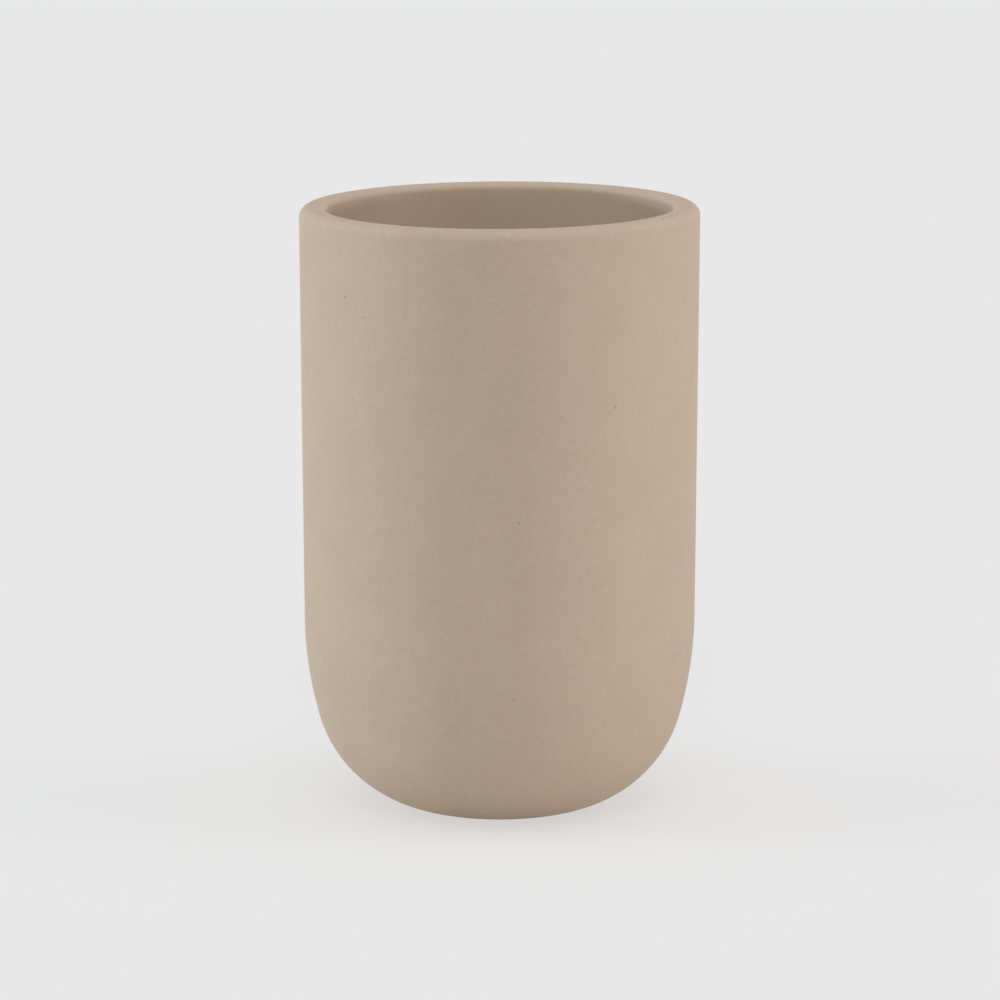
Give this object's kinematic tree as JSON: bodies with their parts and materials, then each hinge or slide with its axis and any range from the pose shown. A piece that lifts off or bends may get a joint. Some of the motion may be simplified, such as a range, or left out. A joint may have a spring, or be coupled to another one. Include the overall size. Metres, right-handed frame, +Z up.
{
  "type": "bathroom tumbler",
  "caption": "Straight-sided stoneware tumbler with a thick soft rim, a rounded base and a non-slip pad under its foot, for holding toothbrushes or rinsing water.",
  "frame": {"origin": "on the table under the middle of the tumbler, at the underside of the pad", "axes": "+Z up along the tumbler's axis, out of its mouth; X and Y are alike, because the tumbler is round"},
  "size_m": [0.08, 0.08, 0.1221],
  "materials": {
    "stoneware": "matt, fine-grained, sand-coloured",
    "pad": "matt, moulded, fine-grained",
    "adhesive": "milky film"
  },
  "bodies": {
    "root": {"vessel": "stoneware", "non_slip_pad": "pad", "pad_adhesive": "adhesive"}
  },
  "joints": []
}
